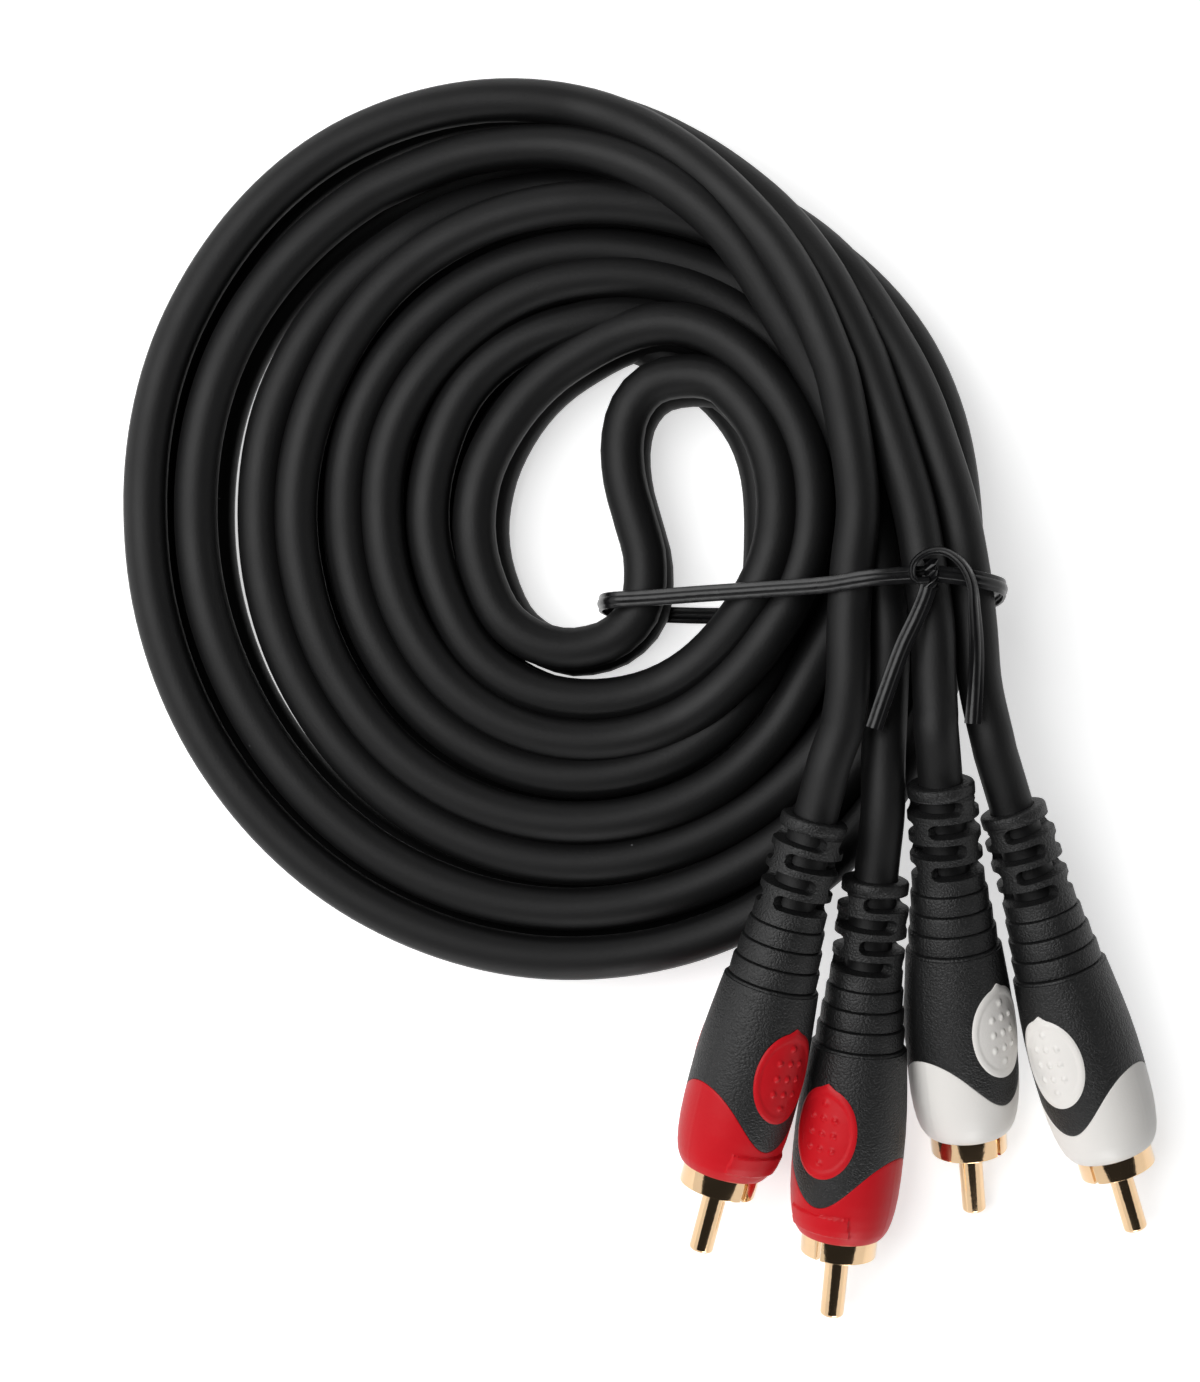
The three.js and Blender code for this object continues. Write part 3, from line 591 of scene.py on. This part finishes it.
def body_outline():
    """Tail, slotted neck, grooved ribs, barrel and nose."""
    points = list(TAIL_OUTLINE)
    for place, before, after in zip(RIB_PLACES, RIB_RADII, RIB_RADII[1:]):
        points += [(place - GROOVE_WIDTH, before + GROOVE_LIP), (place, before - GROOVE_DEPTH),
                   (place + GROOVE_WIDTH, after - RIB_ROUNDING[0]), (place + RIB_ROUNDING[1], after)]
    return points + BARREL_OUTLINE


BODY_OUTLINE = body_outline()


def around(angle, radius, place):
    """A point of the body: angle from the first pad's side, radius and place along the axis."""
    return (radius * math.sin(angle), place, radius * math.cos(angle))


def seam(angle):
    """Where the boot ends and the collar starts: furthest forward over the pads."""
    return SEAM_PLACE + SEAM_WAVE * (math.cos(2 * angle) + SEAM_POINT * math.cos(4 * angle))


def slot_depth(angle, place, radius):
    """How far a staggered slot with round ends sinks the neck at a point."""
    row = min(max(round((place - FIRST_SLOT) / SLOT_PITCH), 0), SLOT_ROWS - 1)
    along = place - (FIRST_SLOT + row * SLOT_PITCH)
    turn = angle - (math.pi / 2 if row % 2 == 0 else 0.0)
    turn = abs((turn + math.pi / 2) % math.pi - math.pi / 2)
    beyond = max(0.0, turn * radius - math.radians(SLOT_HALF_ANGLE) * radius + SLOT_HALF_HEIGHT)
    gap = SLOT_HALF_HEIGHT - math.hypot(beyond, along)
    return (radius - SLOT_FLOOR) * smoothstep(-SLOT_WALL / 2, SLOT_WALL / 2, gap)


def pad_share(angle, place, radius):
    """Under 1 inside a grip pad's oval, on either broad side."""
    turn = (angle + math.pi / 2) % math.pi - math.pi / 2
    return math.hypot(turn * radius / PAD_HALF[0], (place - PAD_PLACE) / PAD_HALF[1])


def parting(angle):
    """The fine line that the mould leaves halfway between the pads."""
    return PARTING_RISE if abs(math.cos(angle)) < PARTING_COSINE else 0.0


def angles():
    return [2 * math.pi * i / COLUMNS for i in range(COLUMNS)]


def outline_places():
    """Places along the boot, dense at its slots and ribs."""
    places = {y for y, _ in BODY_OUTLINE if y < CORE_START}
    for row in range(SLOT_ROWS):
        centre = FIRST_SLOT + row * SLOT_PITCH
        places.update(round(centre + k * SLOT_RING_STEP, 4) for k in range(-SLOT_RINGS, SLOT_RINGS + 1))
    return sorted(places)


def seam_lip(side):
    """The rounded lip at the seam, from the surface in: the boot's with side -1, the collar's with 1."""
    return [[around(a, between(BODY_OUTLINE, seam(a))[0] - sink, seam(a) + side * (SEAM_EDGE - shift))
             for a in angles()] for shift, sink in SEAM_LIP]


def boot_mesh():
    rings = []
    for place in outline_places():
        radius = between(BODY_OUTLINE, place)[0]
        rings.append([around(a, radius - slot_depth(a, place, radius), place) for a in angles()])
    start = outline_places()[-1]
    for k in range(1, BARREL_RINGS + 1):
        ring = []
        for a in angles():
            place = start + (seam(a) - SEAM_EDGE - start) * k / BARREL_RINGS
            radius = between(BODY_OUTLINE, place)[0]
            sunk = POCKET_DEPTH * smoothstep(*POCKET_WALL, pad_share(a, place, radius))
            ring.append(around(a, radius - sunk + parting(a), place))
        rings.append(ring)
    rings += seam_lip(-1)
    rings += [[around(a, radius, place) for a in angles()] for place, radius in BOOT_HOLLOW]
    return ringed(rings)


def plate_rise(angle, place, radius):
    """The bare raised plate on the nose, on the first pad's side."""
    turn = (angle + math.pi) % (2 * math.pi) - math.pi
    edge = max(abs(turn * radius) - PLATE_HALF[0], abs(place - PLATE_CENTRE) - PLATE_HALF[1])
    return PLATE_RISE * smoothstep(*PLATE_WALL, edge)


def collar_mesh(plated):
    rings = seam_lip(1)[::-1]
    for k in range(NOSE_RINGS + 1):
        share = 1 - (1 - k / NOSE_RINGS) ** NOSE_CROWDING
        ring = []
        for a in angles():
            first = seam(a) + SEAM_EDGE
            place = first + (BODY_LENGTH - first) * share
            radius = between(BODY_OUTLINE, place)[0]
            radius += parting(a) + (plate_rise(a, place, radius) if plated else 0)
            ring.append(around(a, radius, place))
        rings.append(ring)
    rings += [[around(a, radius, place) for a in angles()] for place, radius in COLLAR_CORE]
    return ringed(rings)


def pad_height(across, along, share):
    """The pad's relief: a raised rim, a dished middle and its dots."""
    rim = RIM_RISE * smoothstep(*RIM_INNER_WALL, share) * smoothstep(*RIM_OUTER_WALL, share)
    height = PAD_RISE + rim - DISH_DEPTH * smoothstep(*DISH_WALL, share)
    for reach, place in PAD_ROWS:
        for column in range(-reach, reach + 1):
            near = math.hypot(across - column * DOT_SPACING, along - place) / DOT_RADIUS
            height += DOT_RISE * (1 - smoothstep(*DOT_WALL, near))
    return height


def pad_mesh(side):
    """One grip pad as a closed shell whose foot is sunk in the boot's pocket."""
    rings = []
    tops = [k / PAD_RINGS for k in range(1, PAD_RINGS + 1)]
    for share in [*tops, *PAD_UNDERSIDE]:
        under = len(rings) >= len(tops)
        ring = []
        for k in range(PAD_COLUMNS):
            turn = 2 * math.pi * k / PAD_COLUMNS
            across, along = share * PAD_HALF[0] * math.cos(turn), share * PAD_HALF[1] * math.sin(turn)
            radius = between(BODY_OUTLINE, PAD_PLACE + along)[0]
            height = PAD_FOOT if under else pad_height(across, along, share)
            along -= NUB * share ** NUB_FADE * max(0.0, 1 - abs(turn - 1.5 * math.pi) / NUB_HALF_ANGLE)
            ring.append(around(side + across / radius, radius + height, PAD_PLACE + along))
        rings.append(ring)
    return ringed(rings, closed=False)


def turned(outline, columns):
    """A turned shape from its half section, which runs from axis to axis or closes on itself."""
    rings = [[around(2 * math.pi * i / columns, max(radius, AXIS_RADIUS), place) for i in range(columns)]
             for place, radius in outline]
    return ringed(rings, closed=outline[0][1] > 0)


def sleeve_mesh():
    """The ground sleeve, slit from its front on the first pad's side: its front, then its back."""
    slit = math.radians(SLIT_HALF_ANGLE)
    back = SLEEVE_FRONT - SLIT_LENGTH
    edge = [(SLEEVE_FRONT - behind, radius) for behind, radius in SLEEVE_LIP]
    cut = [(back, SLEEVE_RADIUS), *edge, (back, SLEEVE_BORE)]
    turns = [slit + (2 * math.pi - 2 * slit) * i / (SLEEVE_COLUMNS - 1) for i in range(SLEEVE_COLUMNS)]
    front = ringed([[around(t, r, y) for y, r in cut] for t in turns], closed=False)
    rear = [(SLEEVE_BACK, HUB_HOLE), (SLEEVE_BACK, SLEEVE_RADIUS), (back, SLEEVE_RADIUS),
            (back, SLEEVE_BORE), (SLEEVE_FLOOR, SLEEVE_BORE), (SLEEVE_FLOOR, HUB_HOLE)]
    return front, turned(rear, SLEEVE_COLUMNS)


def strap_mesh():
    """Crimp round the cable and the strap that carries it, part of the sleeve."""
    back, front = CRIMP
    inner, outer = CRIMP_RADII
    crimp = turned([(back, inner), (back, outer), (front, outer), (front, inner)], TURNED_COLUMNS)
    inner, outer = STRAP_RADII
    rings = [[around(math.pi + t, inner, place) for t in STRAP_ANGLES]
             + [around(math.pi + t, outer, place) for t in reversed(STRAP_ANGLES)]
             for place in (front - STRAP_LAP, SLEEVE_BACK + STRAP_LAP)]
    return crimp, ringed(rings, closed=False)


def pin_mesh():
    """Centre pin with the collar behind its insulator and a domed tip."""
    back, front, radius = PIN_COLLAR
    outline = [(PIN_BACK, 0.0), (PIN_BACK, PIN_RADIUS), (back, PIN_RADIUS), (back, radius), (front, radius),
               (front, PIN_RADIUS)]
    outline += [(PIN_TIP - behind, PIN_RADIUS - less) for behind, less in PIN_DOME]
    return turned(outline, TURNED_COLUMNS)


def joined(*meshes):
    points, faces = [], []
    for more_points, more_faces in meshes:
        faces += [tuple(i + len(points) for i in face) for face in more_faces]
        points += list(more_points)
    return points, faces


# Settings that a user would change
class CableSettings(bpy.types.PropertyGroup):
    """The cable's sizes and colours."""

    conductor: bpy.props.FloatProperty(
        name="Conductor diameter", description="Outer diameter of one conductor of the twin cable",
        default=CONDUCTOR * MM, unit="LENGTH")
    jacket: bpy.props.FloatVectorProperty(
        name="Jacket", description="Colour of the cable's jacket", subtype="COLOR",
        default=(0.0035, 0.0035, 0.0037))
    tie: bpy.props.FloatVectorProperty(
        name="Tie", description="Colour of the twist tie", subtype="COLOR",
        default=(0.006, 0.006, 0.0065))


class PlugSettings(bpy.types.PropertyGroup):
    """The plugs' colours."""

    red: bpy.props.FloatVectorProperty(
        name="Red collar", description="Colour of the red collars", subtype="COLOR",
        default=(0.6, 0.009, 0.016))
    white: bpy.props.FloatVectorProperty(
        name="White collar", description="Colour of the white collars", subtype="COLOR",
        default=(0.88, 0.855, 0.82))
    boot: bpy.props.FloatVectorProperty(
        name="Boot", description="Colour of the boots", subtype="COLOR", default=(0.0055, 0.0056, 0.0058))
    gold: bpy.props.FloatVectorProperty(
        name="Gold", description="Colour of the plated contacts", subtype="COLOR",
        default=(0.78, 0.55, 0.33))
    insulator: bpy.props.FloatVectorProperty(
        name="Insulator", description="Colour of the insulators", subtype="COLOR",
        default=(0.8, 0.76, 0.66))


class StageSettings(bpy.types.PropertyGroup):
    """The studio round the cable."""

    key_power: bpy.props.FloatProperty(
        name="Key light", description="Power of the large soft light at the left", default=8.2,
        unit="POWER")
    fill_power: bpy.props.FloatProperty(
        name="Fill light", description="Power of the low light in front", default=0.5, unit="POWER")
    sky: bpy.props.FloatProperty(
        name="Room light", description="Brightness of the even light of the room", default=0.03)


def settings(name):
    return getattr(bpy.context.scene, name)


def dress(obj, nodes=()):
    """Says what a piece rides on and which nodes it stands for, and hides those nodes."""
    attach(obj, "root")
    if nodes:
        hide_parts(*nodes)


class AUDIOCABLE_OT_stage(bpy.types.Operator):
    """Makes the floor, the lights, the room and the camera over the cable"""

    bl_idname = "audiocable.stage"
    bl_label = "Stage"

    def execute(self, context):
        stage = settings("cable_stage")
        scene = context.scene
        camera = bpy.data.objects.new("camera", bpy.data.cameras.new("camera"))
        scene.collection.objects.link(camera)
        camera.location = Vector(CAMERA_POINT) * MM
        camera.data.sensor_fit = "VERTICAL"
        camera.data.sensor_height = SENSOR
        camera.data.lens = SENSOR * (CAMERA_POINT[2] - FOCUS_HEIGHT) / FRAME_HEIGHT
        camera.data.clip_start = 0.01
        scene.camera = camera
        self.floor()
        for name, (place, size) in LAMPS.items():
            lamp = bpy.data.lights.new(name, "AREA")
            lamp.size = size
            lamp.energy = getattr(stage, f"{name}_power")
            obj = bpy.data.objects.new(name, lamp)
            scene.collection.objects.link(obj)
            obj.location = place
            obj.rotation_euler = (-Vector(place)).to_track_quat("-Z", "Y").to_euler()
        world = bpy.data.worlds.new("room")
        scene.world = world
        world.use_nodes = True
        background = world.node_tree.nodes["Background"]
        background.inputs["Color"].default_value = (1, 1, 1, 1)
        background.inputs["Strength"].default_value = stage.sky
        scene.view_settings.view_transform = "Standard"
        return {"FINISHED"}

    def floor(self):
        """A round floor with a low wall."""
        turns = [2 * math.pi * i / FLOOR_COLUMNS for i in range(FLOOR_COLUMNS)]
        rings = [[(radius * math.cos(t), radius * math.sin(t), height) for t in turns]
                 for radius, height in FLOOR_OUTLINE]
        points, faces = ringed(rings, closed=False)
        open_above = faces[:-1]
        add_mesh("floor", points, open_above, floor_finish())


class AUDIOCABLE_OT_cords(bpy.types.Operator):
    """Makes the red and the white cord of the twin cable and the web that joins them"""

    bl_idname = "audiocable.cords"
    bl_label = "Cords"

    def execute(self, context):
        cable = settings("cable_cable")
        jacket = jacket_finish(tuple(cable.jacket))
        upper_a, lower_a = half_coil(HALF_A_START, HALF_A_RADII, HALF_A_LIE)
        upper_b, lower_b = half_coil(HALF_B_START, HALF_B_RADII, HALF_B_LIE)
        bend_up = [Vector((x, y, rise + CONDUCTOR / 2 + PAIR_SPACING)) for x, y, rise in S_BEND]
        bend_low = [Vector((x - LEAN[0], y - LEAN[1], rise + CONDUCTOR / 2)) for x, y, rise in S_BEND]
        upper = [*reversed(upper_b), *bend_up, *upper_a[BEND_OVERLAP:]]
        lower = [*reversed(lower_b), *bend_low, *lower_a[BEND_OVERLAP:]]
        for colour, middle in (("red", upper), ("white", lower)):
            near, far = f"end_a_{colour}", f"end_b_{colour}"
            route = spline([*reversed(self.lead(far)), *middle, *self.lead(near)], CORD_STEP)
            obj = self.cord(f"{colour}_cord", route, jacket, cable.conductor)
            dress(obj, ("coiled_cable", f"{near}_lead", f"{far}_lead"))
            obj["exit"] = [c * MM for c in route[-1]]
            obj["length"] = sum((b - a).length for a, b in zip(route, route[1:])) * MM
        dress(self.web(upper, lower, jacket))
        return {"FINISHED"}

    def lead(self, name):
        """A lead from where its pair parts to the tail of its plug."""
        matrix = plug_frame(name)
        return [*map(Vector, LEADS[name]), *move([(0, place, 0) for place in LEAD_END], matrix)]

    def cord(self, name, route, material, diameter):
        curve = bpy.data.curves.new(name, "CURVE")
        curve.dimensions = "3D"
        curve.bevel_depth = diameter / 2
        curve.bevel_resolution = CORD_ROUNDING
        curve.use_fill_caps = True
        line = curve.splines.new("POLY")
        line.points.add(len(route) - 1)
        for point, place in zip(line.points, route):
            point.co = (*(place * MM), 1)
        obj = bpy.data.objects.new(name, curve)
        bpy.context.scene.collection.objects.link(obj)
        material_of(obj, material)
        return obj

    def web(self, upper, lower, material):
        """The thin web between the conductors, along the whole of the coil."""
        rings = []
        first, second = spline(upper, WEB_STEP), spline(lower, WEB_STEP)
        count = min(len(first), len(second))
        for i in range(count):
            top = first[i * (len(first) - 1) // (count - 1)]
            low = min(second[max(0, i - WEB_SEARCH):i + WEB_SEARCH + 1], key=lambda p: (p - top).length)
            ahead = first[min(i + 1, count - 1)] - first[max(i - 1, 0)]
            side = (low - top).cross(ahead).normalized() * (WEB_THICKNESS / 2)
            middle = (top + low) / 2
            half = (low - top).normalized() * WEB_HALF_HEIGHT
            rings.append([middle - half - side, middle + half - side, middle + half + side,
                          middle - half + side])
        points, faces = ringed(rings, closed=False)
        return add_mesh("web", points, faces, material)


class AUDIOCABLE_OT_plugs(bpy.types.Operator):
    """Makes the boot, collar, pads, sleeve and pin of each of the four plugs"""

    bl_idname = "audiocable.plugs"
    bl_label = "Plugs"

    def execute(self, context):
        plug = settings("cable_plugs")
        boot = boot_finish(tuple(plug.boot))
        gold = gold_finish(tuple(plug.gold))
        jacket = bpy.data.materials["jacket"]
        collars = {"red": moulded_finish("red_moulding", tuple(plug.red), 0.42, 2400.0,
                                         Specular_IOR_Level=0.2),
                   "white": moulded_finish("white_moulding", tuple(plug.white), 0.4, 2400.0, 0.03)}
        insulator = moulded_finish("insulator", tuple(plug.insulator), 0.45, 2000.0)
        boot_shell = boot_mesh()
        shells = {colour: joined(collar_mesh(colour == "red"), pad_mesh(0.0), pad_mesh(math.pi))
                  for colour in collars}
        sleeve = joined(*sleeve_mesh(), *strap_mesh())
        pin = pin_mesh()
        for name in PLUGS:
            matrix = plug_frame(name)
            colour = name.split("_")[-1]
            for piece, (points, faces), finish, slot_name in (
                    ("boot", boot_shell, boot, "boot_black"),
                    ("collar", shells[colour], collars[colour], f"collar_{colour}"),
                    ("sleeve", sleeve, gold, "gold_plate"),
                    ("pin", pin, gold, "gold_plate")):
                obj = add_mesh(f"{name}_{piece}_detail", move(points, matrix), faces, finish)
                dress(obj, (f"{name}_{piece}",))
                if piece == "boot":
                    self.show_cable(obj, matrix.inverted(), jacket)
            material_of(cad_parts[f"{name}_insulator"], insulator)
            material_of(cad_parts[f"{name}_wire_end"], jacket)
        for colour in collars:
            self.declare(colour)
        return {"FINISHED"}

    def show_cable(self, boot, to_own, jacket):
        """Gives the floors of the boot's slots the finish of the cable that shows in them."""
        boot.data.materials.append(jacket)
        for face in boot.data.polygons:
            centre = to_own @ (face.center / MM)
            if CABLE_SHOWS[0] < math.hypot(centre.x, centre.z) < CABLE_SHOWS[1]:
                face.material_index = 1

    def declare(self, colour):
        """Reads the cable's conductor setting and does nothing more."""
        settings("cable_cable").conductor


class AUDIOCABLE_OT_tie(bpy.types.Operator):
    """Makes the twist tie: its loop, its knot and its two tails"""

    bl_idname = "audiocable.tie"
    bl_label = "Twist tie"

    def execute(self, context):
        finish = tie_finish(tuple(settings("cable_cable").tie))
        section = [*TIE_SECTION, *[(-a, b) for a, b in reversed(TIE_SECTION[:-1])]]
        section += [(a, -b) for a, b in reversed(section[1:-1])]
        thick = [(a * KNOT_SCALE[0], b * KNOT_SCALE[1]) for a, b in section]
        across_y, across_x, upright = Vector((0, 1, 0)), Vector((1, 0, 0)), Vector((0, 0, 1))
        parts = [ringed(sweep(shape, spline(points, TIE_STEP), across, turns), closed=False)
                 for shape, points, across, turns in (
                     (section, TIE_LOOP, across_y, 0), (section, TIE_TAIL_LEFT, across_x, 0),
                     (section, TIE_TAIL_RIGHT, upright, TAIL_TWIST), (thick, KNOT, across_x, KNOT_TWIST))]
        points, faces = joined(*parts)
        obj = add_mesh("twist_tie_detail", points, faces, finish)
        dress(obj, ("twist_tie",))
        return {"FINISHED"}


class AUDIOCABLE_PT_panel(bpy.types.Panel):
    """Lists the cable's pieces and settings"""

    bl_idname = "AUDIOCABLE_PT_panel"
    bl_label = "Audio cable"
    bl_space_type = "VIEW_3D"
    bl_region_type = "UI"
    bl_category = "Audio cable"

    def draw(self, context):
        for group in GROUPS:
            box = self.layout.box()
            values = getattr(context.scene, group)
            for name in values.__annotations__:
                box.prop(values, name)
        for step in OPERATORS:
            self.layout.operator(step.bl_idname)


OPERATORS = (AUDIOCABLE_OT_stage, AUDIOCABLE_OT_cords, AUDIOCABLE_OT_plugs, AUDIOCABLE_OT_tie)
GROUPS = {"cable_cable": CableSettings, "cable_plugs": PlugSettings, "cable_stage": StageSettings}


def register():
    for kind in (*GROUPS.values(), *OPERATORS, AUDIOCABLE_PT_panel):
        bpy.utils.register_class(kind)
    for name, kind in GROUPS.items():
        setattr(bpy.types.Scene, name, bpy.props.PointerProperty(type=kind))


def unregister():
    for name in GROUPS:
        delattr(bpy.types.Scene, name)
    for kind in (AUDIOCABLE_PT_panel, *reversed(OPERATORS), *reversed(list(GROUPS.values()))):
        bpy.utils.unregister_class(kind)


def main():
    register()
    bpy.ops.audiocable.stage()
    bpy.ops.audiocable.cords()
    bpy.ops.audiocable.plugs()
    bpy.ops.audiocable.tie()


if __name__ == "__main__":
    main()
